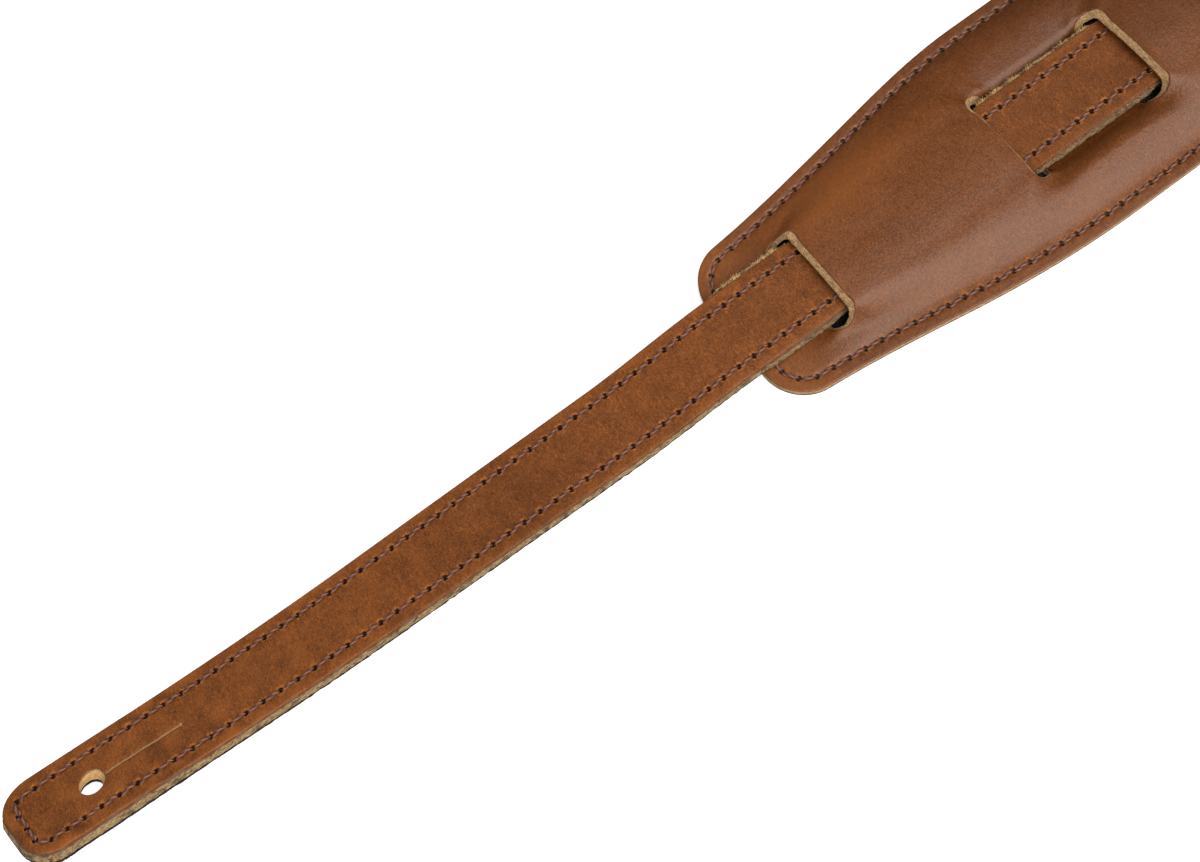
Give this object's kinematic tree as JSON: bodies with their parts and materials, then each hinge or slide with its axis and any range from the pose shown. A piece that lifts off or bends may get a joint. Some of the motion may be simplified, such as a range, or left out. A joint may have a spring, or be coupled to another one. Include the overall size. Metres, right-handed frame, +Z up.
{
  "type": "guitar strap",
  "caption": "Padded leather shoulder strap with a stitched tail strap that weaves through slots to set the length, and a slit button hole at each end.",
  "frame": {"origin": "centre of the strap's length and width, on the surface it lies on", "axes": "+X runs along the strap from the tail tip to the front tip, +Y across its width, +Z up out of the finished leather side"},
  "size_m": [1.114, 0.0762, 0.0215],
  "materials": {
    "pad_leather": "satin",
    "tail_leather": "matte",
    "suede": "matte",
    "foam": "matte",
    "thread": "matte"
  },
  "bodies": {
    "pad": {"pad_top_leather": "pad_leather", "pad_foam": "foam", "pad_backing": "suede", "pad_needle_thread": "thread", "pad_bobbin_thread": "thread"},
    "tail": {"tail_leather": "tail_leather", "tail_backing": "suede", "tail_needle_thread": "thread", "tail_bobbin_thread": "thread"}
  },
  "joints": [
    {"name": "tail_adjust", "type": "slide", "parent": "pad", "child": "tail", "axis": [-1, 0, 0], "range_m": [0, 0.2]}
  ]
}
